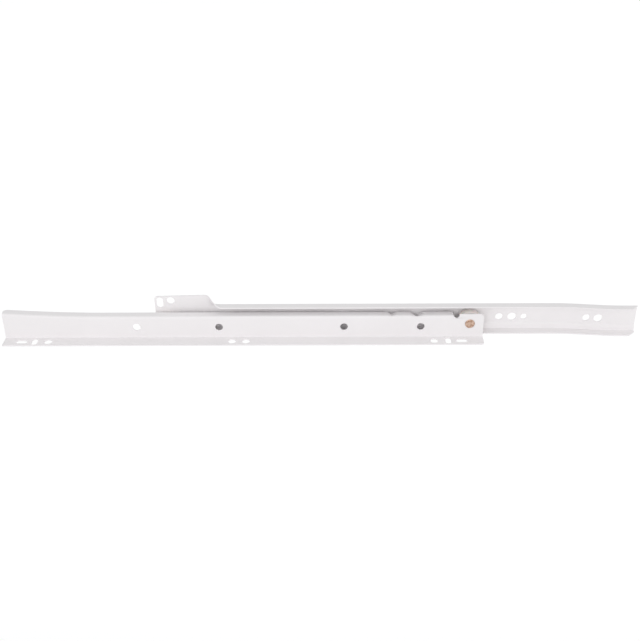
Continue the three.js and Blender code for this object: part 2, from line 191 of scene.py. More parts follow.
class SlideStudio(bpy.types.PropertyGroup):
    """Camera, light and floor."""

    camera_place: FloatVectorProperty(
        name="Camera", description="Camera's place", default=(-0.0639, -0.6989, 0.3988), unit="LENGTH"
    )
    camera_pitch: FloatProperty(
        name="Pitch", description="Camera's tilt down", default=math.radians(30), subtype="ANGLE"
    )
    camera_roll: FloatProperty(
        name="Roll", description="Camera's roll", default=math.radians(-0.18), subtype="ANGLE"
    )
    lens: FloatProperty(name="Lens", description="Focal length in millimetres", default=53.66)
    key: FloatProperty(name="Key light", description="Power of the key light in watts", default=12.4)
    sky: FloatProperty(name="Sky", description="Strength of the studio's walls", default=0.72)
    floor_glow: FloatProperty(
        name="Floor glow", description="Light given by the lit back of the floor", default=0.36
    )
    floor_drop: length("Floor", "Floor below the slide", 800)


# ---------------------------------------------------------------- surfaces


def smooth(share):
    """Smoothstep: 0 below 0, 1 above 1, and 3 t squared less 2 t cubed between."""
    t = np.clip(share, 0, 1)
    return t * t * (3 - 2 * t)


def stations(*stretches):
    """Places along X from stretches of (start, end, spacing), in order and each one once."""
    places = [
        np.linspace(start, end, 1 + max(1, round((end - start) / spacing)))
        for start, end, spacing in stretches
    ]
    return np.unique(np.round(np.concatenate(places), 7))


def walk(start, heading, zones):
    """Mid-line of a folded sheet at every station at once. A zone is (length, turn, steps), and each
    of its steps is a chord: the heading grows by the step's turn, the chord points halfway through
    that turn, and its length is the step's arc times sin(half turn) / (half turn)."""
    count = len(start)
    spread = [(np.full(count, 1.0) * a / n, np.full(count, 1.0) * t / n, n) for a, t, n in zones]
    arc = np.concatenate([np.repeat(a[:, None], n, 1) for a, _, n in spread], 1)
    turn = np.concatenate([np.repeat(t[:, None], n, 1) for _, t, n in spread], 1)
    after = heading + np.cumsum(turn, 1)
    halfway = after - turn / 2
    chord = arc * np.sinc(turn / 2 / math.pi)
    moves = np.stack((chord * np.cos(halfway), chord * np.sin(halfway)), -1)
    points = start[:, None] + np.concatenate((np.zeros((count, 1, 2)), np.cumsum(moves, 1)), 1)
    headings = np.concatenate((np.full((count, 1), heading), after), 1)
    normals = np.stack((-np.sin(headings), np.cos(headings)), -1)
    return points, normals


def sheet_rings(x, up, down, thickness):
    """Closed rings of a folded sheet, one for each station. The mid-line runs from the end of the
    upward walk through their shared start to the end of the downward walk. One side of the ring is
    the mid-line moved along its normal by half the thickness, and the other side is moved back."""
    middle = np.concatenate((up[0][:, :0:-1], down[0]), 1)
    normal = np.concatenate((-up[1][:, :0:-1], down[1]), 1) * thickness / 2
    ring = np.concatenate(((middle + normal)[:, ::-1], middle - normal), 1)
    along = np.broadcast_to(x[:, None, None], (*ring.shape[:2], 1))
    return np.concatenate((along, ring), -1)


def ring_faces(rings, around, closed=False):
    """Quads between neighbouring rings. Each ring is closed, and so is the row of rings if closed."""
    ring, spot = np.mgrid[0 : rings if closed else rings - 1, 0:around]
    beside = (spot + 1) % around
    after = (ring + 1) % rings
    corners = (ring * around + spot, ring * around + beside, after * around + beside, after * around + spot)
    return np.stack(corners, -1).reshape(-1, 4)


def piece_from(name, points, faces):
    """A mesh object at the origin, with its faces turned outwards."""
    mesh = bpy.data.meshes.new(name)
    mesh.from_pydata(points.reshape(-1, 3).tolist(), [], faces)
    shape = bmesh.new()
    shape.from_mesh(mesh)
    bmesh.ops.recalc_face_normals(shape, faces=shape.faces)
    shape.to_mesh(mesh)
    shape.free()
    piece = bpy.data.objects.new(name, mesh)
    bpy.context.scene.collection.objects.link(piece)
    return piece


def folded_sheet(name, rings):
    """A solid sheet from its rings, with an end strip of quads between the two sides of each end."""
    count, around, _ = rings.shape
    half = around // 2
    side = np.arange(half - 1)
    strip = np.stack((half - 1 - side, half - 2 - side, half + side + 1, half + side), -1)
    ends = (strip, strip + (count - 1) * around)
    faces = np.concatenate((ring_faces(count, around), *ends))
    return piece_from(name, rings, faces.tolist())


def turned(name, profile, centre, inwards, sides, open_bore=False):
    """A surface of revolution about an axis along Y: a profile point (r, d) goes to the circle of
    radius r that lies d inwards from the centre. An open bore's profile closes on itself, and any
    other ends in a small flat disc at each end."""
    profile = np.array(profile)
    angle = np.linspace(0, 2 * math.pi, sides, endpoint=False)
    radius, depth = profile[:, :1], profile[:, 1:]
    x = centre[0] + radius * np.cos(angle)
    y = centre[1] + inwards * depth + 0 * angle
    z = centre[2] + radius * np.sin(angle)
    faces = ring_faces(len(profile), sides, closed=open_bore).tolist()
    if not open_bore:
        faces += [list(range(sides)), list(range((len(profile) - 1) * sides, len(profile) * sides))]
    return piece_from(name, np.stack((x, y, z), -1), faces)


def arc(centre, radius, start, end, steps):
    """Points on an arc, (c + r cos a, d + r sin a) for angles a from start to end in quarter turns."""
    angle = np.linspace(start, end, steps + 1) * QUARTER
    return [(centre[0] + radius * math.cos(a), centre[1] + radius * math.sin(a)) for a in angle]


def slot_outline(x, y, width, height, sides):
    """A stadium: a circle whose halves are moved apart by the slot's extra width or height."""
    radius = min(width, height) / 2
    angle = (np.arange(sides) + 0.5) * 2 * math.pi / sides
    across, upward = np.cos(angle), np.sin(angle)
    return np.stack(
        (
            x + radius * across + (width / 2 - radius) * np.sign(across),
            y + radius * upward + (height / 2 - radius) * np.sign(upward),
        ),
        -1,
    )


def corner_outline(x, y, sx, sy, radius):
    """What a corner at (x, y) loses when it is rounded: the metal lies towards (x + sx, y + sy)."""
    angle = np.linspace(0, QUARTER, 9)[1:-1]
    bend = np.stack((x + sx * radius * (1 - np.cos(angle)), y + sy * radius * (1 - np.sin(angle))), -1)
    straight = [
        (x + sx * radius, y),
        (x + sx * radius, y - sy * SPARE),
        (x - sx * SPARE, y - sy * SPARE),
        (x - sx * SPARE, y + sy * radius),
        (x, y + sy * radius),
    ]
    return np.concatenate((straight, bend))


def box_outline(x0, x1, y0, y1):
    """A rectangle."""
    return np.array(((x0, y0), (x1, y0), (x1, y1), (x0, y1)))


def prism(outline, start, end, axis):
    """A cutter: an outline carried along Y from its XZ plane, or along Z from its XY plane."""
    rings = np.array([np.insert(outline, axis, place, axis=1) for place in (start, end)])
    around = len(outline)
    faces = ring_faces(2, around).tolist()
    faces += [list(range(around)), list(range(around, 2 * around))]
    return piece_from("cutter", rings, faces)


def combine(piece, operation, tools):
    """Cuts the tools out of a piece, or joins them to it, and removes them."""
    for tool in tools:
        step = piece.modifiers.new("combine", "BOOLEAN")
        step.operation = operation
        step.solver = "EXACT"
        step.object = tool
    bake_modifiers(piece)
    for tool in tools:
        bpy.data.objects.remove(tool)


def bake_modifiers(piece):
    """Puts the result of a piece's modifiers into its mesh."""
    view = bpy.context.evaluated_depsgraph_get()
    made = bpy.data.meshes.new_from_object(piece.evaluated_get(view), depsgraph=view)
    piece.modifiers.clear()
    piece.data = made


def merge_flat(piece):
    """Joins the faces that lie in one plane, so that an edge rounding meets no stray short edges."""
    shape = bmesh.new()
    shape.from_mesh(piece.data)
    same_place, same_plane = 0.002 * MM, math.radians(0.04)
    bmesh.ops.remove_doubles(shape, verts=shape.verts, dist=same_place)
    bmesh.ops.dissolve_limit(shape, angle_limit=same_plane, verts=shape.verts, edges=shape.edges)
    shape.to_mesh(piece.data)
    shape.free()


def round_edges(piece, width, steps, sharper_than=40):
    """Rounds the edges that are sharper than an angle in degrees, and shades the rest smooth."""
    bevel = piece.modifiers.new("edge rounding", "BEVEL")
    bevel.width = width
    bevel.segments = steps
    bevel.limit_method = "ANGLE"
    bevel.angle_limit = math.radians(sharper_than)
    bevel.use_clamp_overlap = False
    bevel.miter_outer = "MITER_ARC"
    weighted = piece.modifiers.new("flat faces stay flat", "WEIGHTED_NORMAL")
    weighted.mode = "FACE_AREA"
    weighted.weight = 60
    piece.data.shade_smooth()


def place(piece, body, node, slot, material):
    """Hands a finished piece over: its material, its body and the node that it stands for."""
    piece.data.materials.clear()
    piece.data.materials.append(material)
    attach(piece, body)
    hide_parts(node)


# ---------------------------------------------------------------- materials


def add(tree, kind, values=None, links=None, **fields):
    """Adds a node with its fields, its sockets' values and the links into it."""
    made = tree.nodes.new(kind)
    for field, value in fields.items():
        setattr(made, field, value)
    for socket, value in (values or {}).items():
        made.inputs[socket].default_value = value
    for socket, source in (links or {}).items():
        tree.links.new(source, made.inputs[socket])
    return made


def blank_material(name):
    """A material with an empty node tree, and its Object coordinates."""
    made = bpy.data.materials.get(name) or bpy.data.materials.new(name)
    made.use_nodes = True
    made.node_tree.nodes.clear()
    place_on_piece = add(made.node_tree, "ShaderNodeTexCoord").outputs["Object"]
    return made, made.node_tree, place_on_piece


def blend_colours(tree, factor, first, second):
    """Mixes two colours by a pattern. The colour sockets of the Mix node are 6 and 7."""
    values = {6: (*first, 1), 7: (*second, 1)}
    return add(tree, "ShaderNodeMix", values, {0: factor}, data_type="RGBA").outputs[2]


def spread(tree, source, low, high, to_low=0.0, to_high=1.0):
    """Stretches a pattern's range from low..high to another range."""
    return add(
        tree,
        "ShaderNodeMapRange",
        {"From Min": low, "From Max": high, "To Min": to_low, "To Max": to_high},
        {"Value": source},
    ).outputs["Result"]


def noise(tree, where, grain, detail=2.0, roughness=0.5):
    """A noise pattern whose grain is a real size in metres."""
    return add(
        tree,
        "ShaderNodeTexNoise",
        {"Scale": 1 / grain, "Detail": detail, "Roughness": roughness},
        {"Vector": where},
    ).outputs["Fac"]


def bump(tree, height, distance, strength=1.0, under=None):
    """A height pattern in metres as a bump, over another bump if there is one."""
    links = {"Height": height}
    if under is not None:
        links["Normal"] = under
    values = {"Strength": strength, "Distance": distance}
    return add(tree, "ShaderNodeBump", values, links).outputs["Normal"]


def surface(tree, values, links):
    """The Principled shader and the output."""
    shader = add(tree, "ShaderNodeBsdfPrincipled", values, links)
    add(tree, "ShaderNodeOutputMaterial", links={"Surface": shader.outputs["BSDF"]})


def powder_coated_steel(finish):
    """Steel sheet, blanked and folded, then powder-coated white and baked. The coat flows into soft
    waves of one to two millimetres, which break up its gloss, and it lies a little thinner in large
    soft patches."""
    made, tree, where = blank_material("powder_coated_steel")
    patches = noise(tree, where, 45 * MM, 3.0)
    base = blend_colours(tree, spread(tree, patches, 0.35, 0.65), finish.coat, finish.coat_thin)
    peel = noise(tree, where, 1.6 * MM, 1.0)
    grain = noise(tree, where, 0.35 * MM, 2.0)
    waves = bump(tree, peel, 0.012 * MM)
    normal = bump(tree, grain, 0.003 * MM, under=waves)
    gloss = spread(tree, peel, 0.3, 0.7, 0.36, 0.44)
    surface(
        tree,
        {"IOR": 1.5, "Metallic": 0.0},
        {"Base Color": base, "Roughness": gloss, "Normal": normal},
    )
    return made


def moulded_nylon(finish):
    """Nylon 6, injection-moulded and left natural: milky and slightly warm, with a fine texture from
    the mould and soft flow marks round the gate."""
    made, tree, where = blank_material("moulded_nylon")
    flow = noise(tree, where, 4 * MM, 2.0)
    base = blend_colours(tree, spread(tree, flow, 0.3, 0.7), finish.nylon, finish.nylon_deep)
    texture = noise(tree, where, 0.25 * MM, 2.0)
    normal = bump(tree, texture, 0.006 * MM)
    gloss = spread(tree, flow, 0.3, 0.7, 0.42, 0.52)
    surface(
        tree,
        {"IOR": 1.53, "Subsurface Weight": 0.12, "Subsurface Scale": 1.2 * MM},
        {"Base Color": base, "Roughness": gloss, "Normal": normal},
    )
    return made


def passivated_steel(finish, name, centre):
    """Steel rivet, cold-formed, zinc-plated and passivated: a copper-brown film that is mottled where
    it is thicker. The closing tool leaves fine rings round the middle of the head."""
    made, tree, where = blank_material(name)
    centred = add(
        tree, "ShaderNodeMapping", {"Location": tuple(-x for x in centre)}, {"Vector": where}
    ).outputs["Vector"]
    film = noise(tree, where, 1.7 * MM, 3.0, 0.55)
    base = blend_colours(tree, spread(tree, film, 0.32, 0.68), finish.rivet, finish.rivet_dark)
    rings = add(
        tree,
        "ShaderNodeTexWave",
        {"Scale": RING_PERIOD / (0.5 * MM), "Distortion": 1.2, "Detail": 2.0, "Detail Scale": 2.0},
        {"Vector": centred},
        wave_type="RINGS",
        rings_direction="Y",
    ).outputs["Fac"]
    normal = bump(tree, rings, 0.012 * MM)
    gloss = spread(tree, film, 0.3, 0.7, 0.26, 0.42)
    surface(tree, {"Metallic": 1.0}, {"Base Color": base, "Roughness": gloss, "Normal": normal})
    return made


def zinc_plated_steel(finish):
    """Steel washer, blanked, tumbled and zinc-plated: bluish grey, with the fine random scratches of
    the tumbling barrel."""
    made, tree, where = blank_material("zinc_plated_steel")
    cloud = noise(tree, where, 1.8 * MM, 3.0)
    base = blend_colours(tree, spread(tree, cloud, 0.35, 0.65), finish.washer, finish.washer_dark)
    scratch = add(
        tree,
        "ShaderNodeTexNoise",
        {"Scale": 1 / (0.2 * MM), "Detail": 4.0, "Distortion": 2.5},
        {"Vector": where},
    ).outputs["Fac"]
    normal = bump(tree, scratch, 0.004 * MM)
    gloss = spread(tree, cloud, 0.3, 0.7, 0.28, 0.4)
    surface(tree, {"Metallic": 1.0}, {"Base Color": base, "Roughness": gloss, "Normal": normal})
    return made


def studio_floor(glow):
    """Matt white paint on a smooth board, with a faint unevenness from the paint roller. Its back half
    is lit from within, as a light table is, so it turns pure white there and stays soft in front."""
    made, tree, where = blank_material("matt_painted_floor")
    patches = noise(tree, where, 0.4, 2.0)
    base = blend_colours(tree, patches, linear("F6F6F6"), linear("F3F3F3"))
    back = add(tree, "ShaderNodeSeparateXYZ", links={"Vector": where}).outputs["Y"]
    light = spread(tree, back, -GLOW_FADE, GLOW_FADE, 0.0, glow)
    surface(
        tree,
        {"Roughness": 0.9, "Emission Color": (1, 1, 1, 1)},
        {"Base Color": base, "Emission Strength": light},
    )
    return made


# ---------------------------------------------------------------- pieces

# Screw holes in the channel: distance from the back end, diameter.
WALL_HOLES = ((115.1, 6), (104.3, 7), (94.3, 5), (41.5, 6), (31.4, 7))
WALL_HOLE_DROP = 0.75
# Tab openings: distance from the front end, height over the channel's top, width, height.
TAB_OPENINGS = ((4.4, 1.4, 5.5, 9.5), (13.5, 3.3, 6.4, 6.4))
# Screw holes in the web: distance from the front end, or from the back end if negative.
WEB_HOLES = (110.7, 179.5, -116.3, -52.3)
WEB_HOLE = 6.3
WEB_HOLE_DROP = 10.0
# Pressed dents in the runner flange: distance from the back end, width, depth at the free edge.
DENTS = ((76.6, 8.4, 2.4), (55.6, 11.7, 4.5))
DENT_AT_FOLD = 0.25
# Openings in the seat flange: distance from the front, or the back if negative, and both sizes.
SEAT_HOLES = (
    (15.1, 9.4, 4.6),
    (26.0, 4.6, 9.0),
    (37.2, 6.4, 6.4),
    (190.3, 6.4, 6.4),
    (201.9, 6.4, 6.4),
    (-41.2, 6.4, 6.4),
    (-29.5, 4.6, 9.0),
    (-18.2, 9.4, 4.6),
)


def rivet_seat(name, axle, centre, inwards, sheet):
    """What the rivet's seat takes out of the sheet: a hole, a flat recess and a very shallow dish."""
    recess = axle.head / 2 + 2 * SEAT_GAP
    hole = axle.spigot / 2 + SEAT_GAP
    flat, lip, over, eased = 0.9 * MM, 0.25 * MM, 0.3 * MM, 0.02 * MM
    profile = [
        (axle.dish + over, -over),
        (axle.dish + eased, -eased),
        (axle.dish, 0),
        (recess + flat, axle.dish_depth),
        (recess + lip, axle.dish_depth),
        (recess, axle.dish_depth + lip),
        (recess, axle.seat),
        (hole, axle.seat),
        (hole, sheet + SPARE),
    ]
    return turned(name, profile, centre, inwards, axle.sides)


def channel_holes(sheet, size, top):
    """Outlines of the channel's screw holes and of the slot and hole in its tab."""
    front, back = CHANNEL_LOW.x, CHANNEL_HIGH.x
    ramp_start = back - size.ramp_tail - size.ramp_length
    for from_front, over_top, width, height in TAB_OPENINGS:
        yield slot_outline(
            front + from_front * MM, top + over_top * MM, width * MM, height * MM, sheet.hole_sides
        )
    for from_back, diameter in WALL_HOLES:
        x = back - from_back * MM
        drop = size.ramp_drop * smooth((x - ramp_start) / size.ramp_length)
        z = -WALL_HOLE_DROP * MM - drop
        yield slot_outline(x, z, diameter * MM, diameter * MM, sheet.hole_sides)


def build_channel(context):
    """The channel on the cabinet wall. Its section turns into a flat tab at the front, its lower wall
    steps towards the drawer, and near the back the whole section sinks along a smoothstep ramp."""
    scene = context.scene
    sheet, size, axle = scene.slide_sheet, scene.slide_channel, scene.slide_axle
    thick, half = sheet.thickness, sheet.thickness / 2
    top = size.inner_height / 2 + thick
    reach = sheet.bend + thick
    fold_arc = (sheet.bend + half) * QUARTER
    front, back = CHANNEL_LOW.x, CHANNEL_HIGH.x
    roller_low, roller_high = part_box("front_roller")
    cut_end = roller_high.x + ROLLER_ROOM
    joggle_full = cut_end + size.joggle_fade
    tab_end = front + size.tab_length
    flange_start = tab_end + size.tab_blend
    ramp_start = back - size.ramp_tail - size.ramp_length
    x = stations(
        (front, cut_end, 5 * MM),
        (cut_end, joggle_full, 1 * MM),
        (joggle_full, tab_end, 3 * MM),
        (tab_end, flange_start, 0.7 * MM),
        (flange_start, ramp_start, 30 * MM),
        (ramp_start, ramp_start + size.ramp_length, 2 * MM),
        (ramp_start + size.ramp_length, back, 10 * MM),
    )
    folded = np.maximum(LEAST_FOLD, smooth((x - tab_end) / size.tab_blend))
    stepped = np.maximum(LEAST_FOLD, smooth((x - cut_end) / size.joggle_fade))
    on_tab = np.clip((x - front) / size.tab_length, 0, 1)
    tab_flange = size.tab_height + reach - fold_arc + size.tab_rise * on_tab
    flange = tab_flange + (size.top_flange - reach - tab_flange) * folded
    web_top = top - reach
    joggle_arc = (sheet.bend + half) * QUARTER / 2
    joggle_slant = size.joggle_depth * math.sqrt(2) - joggle_arc
    start = np.tile((-half, web_top), (len(x), 1))
    up = walk(start, QUARTER, [(fold_arc, QUARTER * folded, sheet.fold_steps), (flange, 0, 6)])
    turn = QUARTER / 2 * stepped
    wall = [
        (web_top + size.joggle_drop, 0, 1),
        (joggle_arc, -turn, JOGGLE_STEPS),
        (joggle_slant, 0, 1),
        (joggle_arc, turn, JOGGLE_STEPS),
    ]
    down = walk(start, -QUARTER, wall)
    low = down[0][:, -1]
    rest = walk(
        low,
        -QUARTER,
        [
            (low[:, 1] + top - reach, 0, 1),
            (fold_arc, -QUARTER, sheet.fold_steps),
            (size.bottom_flange - reach + half + low[:, 0], 0, 1),
        ],
    )
    down = tuple(np.concatenate((a, b[:, 1:]), 1) for a, b in zip(down, rest))
    rings = sheet_rings(x, up, down, thick)
    rings[..., 2] -= size.ramp_drop * smooth((x - ramp_start) / size.ramp_length)[:, None]
    piece = folded_sheet("channel", rings)

    tools = [prism(outline, -thick - SPARE, SPARE, 1) for outline in channel_holes(sheet, size, top)]
    corner = corner_outline(front, top + size.tab_height, 1, -1, size.tab_corner)
    tools.append(prism(corner, -thick - SPARE, SPARE, 1))
    axle_x, axle_z = (roller_low.x + roller_high.x) / 2, (roller_low.z + roller_high.z) / 2
    tools.append(rivet_seat("seat", axle, (axle_x, 0, axle_z), -1, thick))
    away = box_outline(front - SPARE, cut_end, -top - SPARE, reach - top)
    tools.append(prism(away, -size.bottom_flange - SPARE, SPARE, 1))
    lowest = -top - size.ramp_drop - SPARE
    for depth, z0, z1 in (
        (size.top_flange, 0, top + SPARE),
        (size.bottom_flange, lowest, lowest + thick + 2 * SPARE),
    ):
        cut = (
            (back - size.corner_cut - SPARE, -depth - SPARE),
            (back + SPARE, -depth - SPARE),
            (back + SPARE, -depth + size.corner_cut + SPARE),
        )
        tools.append(prism(np.array(cut), z0, z1, 2))
    combine(piece, "DIFFERENCE", tools)
    merge_flat(piece)
    round_edges(piece, sheet.edge, EDGE_STEPS)
    return piece


def from_end(distance):
    """A place along the drawer's profile, from its front end or, if negative, its back end."""
    return (RUNNER_LOW.x if distance > 0 else RUNNER_HIGH.x) + distance * MM


def dent_depth(x):
    """Depth of the pressed dents at the flange's free edge: for each a V with a slightly eased tip,
    (1 - off) to the power TIP_EASE, where off is 0 at the tip and 1 at the dent's ends."""
    depth = np.zeros_like(x)
    for from_back, width, deepest in DENTS:
        off = np.abs(x - from_end(-from_back)) / (width * MM / 2)
        depth += deepest * MM * np.clip(1 - off, 0, 1) ** TIP_EASE
    return depth


def build_runner(context):
    """The profile on the drawer. The runner flange rises towards the front by a power of the distance,
    and two dents are pressed into it, deepest at its free edge and dying out at the web."""
    scene = context.scene
    sheet, size, axle = scene.slide_sheet, scene.slide_runner, scene.slide_axle
    thick, half = sheet.thickness, sheet.thickness / 2
    front, back = RUNNER_LOW.x, RUNNER_HIGH.x
    reach = sheet.bend + thick
    fold_arc = (sheet.bend + half) * QUARTER
    bottom = RUNNER_LOW.z
    top = bottom + size.web_height
    outer = RUNNER_LOW.y + size.seat_flange
    flange_end = back - size.tail_length
    dent_stretches = [
        (from_end(-place) - width / 2 * MM, from_end(-place) + width / 2 * MM, 0.5 * MM)
        for place, width, _ in DENTS
    ]
    x = stations(
        (front, front + size.nose_length, 2.5 * MM),
        (front + size.nose_length, back, 40 * MM),
        *dent_stretches,
    )
    middle = (top + bottom) / 2
    ahead = np.clip(1 - (x - front) / size.nose_length, 0, 1)
    rise = size.nose_rise * ahead**NOSE_CURVE
    start = np.tile((outer + half, middle), (len(x), 1))
    up = walk(
        start,
        QUARTER,
        [
            (top - reach - middle + rise, 0, 1),
            (fold_arc, -QUARTER, sheet.fold_steps),
            (size.runner_flange - reach, 0, 4),
        ],
    )
    down = walk(
        start,
        -QUARTER,
        [
            (middle - bottom - reach, 0, 1),
            (fold_arc, -QUARTER, sheet.fold_steps),
            (size.seat_flange - sheet.bend, 0, 1),
        ],
    )
    rings = sheet_rings(x, up, down, thick)
    span = size.runner_flange - reach
    on_flange = np.minimum(1, (rings[..., 1] - outer - reach) / span)
    share = np.maximum(0, DENT_AT_FOLD + (1 - DENT_AT_FOLD) * on_flange)
    rings[..., 2] -= np.where(rings[..., 2] > middle, dent_depth(x)[:, None] * share, 0)
    piece = folded_sheet("runner", rings)

    flange_back = outer + size.runner_flange
    tail_top = top + size.tail_rise
    fold_bottom = top - reach
    through_flange = (outer - SPARE, flange_back + SPARE, 1)
    through_web = (outer - SPARE, outer + thick + SPARE, 1)
    behind = box_outline(flange_end, back + SPARE, fold_bottom, top + SPARE)
    combine(piece, "DIFFERENCE", [prism(behind, *through_flange)])
    tail = box_outline(flange_end, back, fold_bottom - SPARE, tail_top)
    combine(piece, "UNION", [prism(tail, outer, outer + thick, 1)])

    notch_x = flange_end + size.relief_behind
    notch_top = tail_top + size.relief_width
    notch_bottom = top - size.relief_below
    notch = slot_outline(
        notch_x,
        (notch_top + notch_bottom) / 2,
        size.relief_width,
        notch_top - notch_bottom,
        sheet.hole_sides,
    )
    stub = box_outline(flange_end - SPARE, notch_x, top, notch_top)
    tail_waste = corner_outline(back, tail_top, -1, -1, size.tail_corner)
    tools = [
        prism(notch, *through_flange),
        prism(stub, *through_flange),
        prism(tail_waste, *through_web),
    ]
    for distance in WEB_HOLES:
        hole = slot_outline(
            from_end(distance), top - WEB_HOLE_DROP * MM, WEB_HOLE * MM, WEB_HOLE * MM, sheet.hole_sides
        )
        tools.append(prism(hole, *through_web))
    seat_middle = outer - (size.seat_flange + sheet.bend) / 2
    through_seat = (bottom - SPARE, bottom + thick + SPARE, 2)
    for distance, along, across in SEAT_HOLES:
        hole = slot_outline(from_end(distance), seat_middle, along * MM, across * MM, sheet.hole_sides)
        tools.append(prism(hole, *through_seat))
    roller_low, roller_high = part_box("rear_roller")
    axle_x, axle_z = (roller_low.x + roller_high.x) / 2, (roller_low.z + roller_high.z) / 2
    tools.append(rivet_seat("seat", axle, (axle_x, outer, axle_z), 1, thick))
    nose_waste = corner_outline(front, flange_back, 1, -1, size.nose_corner)
    tools.append(prism(nose_waste, fold_bottom, top + size.nose_rise + SPARE, 2))
    seat_waste = corner_outline(back, RUNNER_LOW.y, -1, 1, size.nose_corner)
    tools.append(prism(seat_waste, *through_seat))
    combine(piece, "DIFFERENCE", tools)
    merge_flat(piece)
    round_edges(piece, sheet.edge, EDGE_STEPS)
    return piece


def axle_of(end):
    """Where an axle stands on its sheet's outer face, and which way is inwards."""
    low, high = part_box(f"{end}_roller")
    seat_flange = bpy.context.scene.slide_runner.seat_flange
    face, inwards = (0, -1) if end == "front" else (RUNNER_LOW.y + seat_flange, 1)
    return ((low.x + high.x) / 2, face, (low.z + high.z) / 2), inwards


def depths(node, centre, inwards):
    """How deep a node starts and ends, from the outer face of the sheet that holds its axle."""
    low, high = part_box(node)
    return sorted(((low.y - centre[1]) * inwards, (high.y - centre[1]) * inwards))


def build_roller(context, end):
    """A roller: hub, recessed disc, rim and a tread with rounded edges and a fine parting line."""
    axle = context.scene.slide_axle
    centre, inwards = axle_of(end)
    a, b = depths(f"{end}_roller", centre, inwards)
    low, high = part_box(f"{end}_roller")
    radius = (high.x - low.x) / 2
    bore = axle.shoulder / 2 + axle.bore_play
    hub = bore + axle.hub
    rim = radius - axle.rim
    recess, soft, corner = axle.disc_recess, 0.35 * MM, axle.tread_round
    ease, middle, ridge = 0.2 * MM, (a + b) / 2, 0.03 * MM
    tread = radius - ridge
    face = [
        (bore, a + ease),
        (bore + ease, a),
        *arc((hub - soft, a + soft), soft, -1, 0, 4),
        *arc((hub + soft, a + recess - soft), soft, 2, 1, 4),
        *arc((rim - soft, a + recess - soft), soft, 1, 0, 4),
        *arc((rim + soft, a + soft), soft, 2, 3, 4),
        *arc((tread - corner, a + corner), corner, -1, 0, 6),
    ]
    parting = [(tread, middle - 0.15 * MM), (radius, middle - 0.05 * MM)]
    near = face + parting
    far = [(r, a + b - d) for r, d in reversed(near)]
    return turned(f"{end}_wheel_of_nylon", near + far, centre, inwards, axle.sides, open_bore=True)


def build_rivet(context, end):
    """A shoulder rivet: an outer head with a dimple, a spigot, a shoulder and a flat inner head. Past
    the dimple's brim, the head falls by the cube of the distance from it."""
    axle = context.scene.slide_axle
    centre, inwards = axle_of(end)
    sheet = context.scene.slide_sheet.thickness
    _, deep = depths(f"{end}_axle_rivet", centre, inwards)
    head, spigot, shoulder = axle.head / 2, axle.spigot / 2, axle.shoulder / 2
    seat = axle.seat - SEAT_GAP
    top = seat - axle.head_depth
    inner = axle.inner_head / 2
    inner_start = deep - axle.inner_depth
    brim, fall = 0.42, 0.62  # shares of the head's radius and of its thickness
    crown = np.linspace(brim, 1, 9)
    dome = [
        (head * r, top + axle.head_depth * fall * ((r - brim) / (1 - brim)) ** 3) for r in crown
    ]
    pit = [(0.06, 0.52), (0.14, 0.5), (0.22, 0.42), (0.29, 0.24), (0.35, 0.08)]
    dimple = [(head * r, top + axle.head_depth * d) for r, d in pit]
    bevel = 0.3 * MM
    profile = [
        *dimple,
        *dome,
        (head, seat),
        (spigot, seat),
        (spigot, sheet + SEAT_GAP),
        (shoulder, sheet + SEAT_GAP),
        (shoulder, inner_start),
        (inner, inner_start),
        (inner, deep - bevel),
        (inner - 0.3 * bevel, deep - 0.3 * bevel),
        (inner - bevel, deep),
        (0.3 * MM, deep),
    ]
    return turned(f"{end}_shoulder_rivet", profile, centre, inwards, axle.sides)


def build_washer(context, end):
    """A flat washer, blanked, with eased edges."""
    axle = context.scene.slide_axle
    centre, inwards = axle_of(end)
    a, b = depths(f"{end}_washer", centre, inwards)
    bore, outer = axle.shoulder / 2 + axle.bore_play, axle.washer / 2
    ease = 0.12 * MM
    near = [(bore, a + ease), (bore + ease, a), *arc((outer - ease, a + ease), ease, -1, 0, 3)]
    far = [(r, a + b - d) for r, d in reversed(near)]
    return turned(f"{end}_flat_washer", near + far, centre, inwards, axle.sides, open_bore=True)


# ---------------------------------------------------------------- studio


def build_floor(studio):
    """A flat floor: a grid of points at one height."""
    reach = FLOOR_REACH
    z = CAD_BOX[0].z - studio.floor_drop
    corners = np.array([(-reach, -reach, z), (reach, -reach, z), (reach, reach, z), (-reach, reach, z)])
    mesh = bpy.data.meshes.new("studio_floor")
    mesh.from_pydata(corners.tolist(), [], [[0, 1, 2, 3]])
    floor = bpy.data.objects.new("studio_floor", mesh)
    bpy.context.scene.collection.objects.link(floor)
    mesh.materials.append(studio_floor(studio.floor_glow))


# Studio lights: name, place, width, height, share of the key light's power, colour.
LIGHTS = (
    ("key_softbox", (-0.35, -2.0, 0.85), 1.6, 1.2, 1.0, "FFFDFE"),
    ("side_softbox", (1.9, -0.9, 0.7), 1.0, 1.0, 0.25, "FFFDFE"),
)


def build_lights(context, studio):
    """Soft boxes that face the slide, and the studio's white walls as an even sky."""
    for name, spot, width, height, share, hex_colour in LIGHTS:
        light = bpy.data.lights.new(name, "AREA")
        light.shape = "RECTANGLE"
        light.size, light.size_y = width, height
        light.energy = studio.key * share
        light.color = linear(hex_colour)
        lamp = bpy.data.objects.new(name, light)
        lamp.location = spot
        lamp.rotation_euler = (-Vector(spot)).to_track_quat("-Z", "Y").to_euler()
        context.scene.collection.objects.link(lamp)
    world = bpy.data.worlds.new("studio_walls")
    world.use_nodes = True
    world.node_tree.nodes.clear()
    sky = add(
        world.node_tree,
        "ShaderNodeBackground",
        {"Color": (*linear("FCFDFD"), 1), "Strength": studio.sky},
    )
    add(world.node_tree, "ShaderNodeOutputWorld", links={"Surface": sky.outputs["Background"]})
    context.scene.world = world


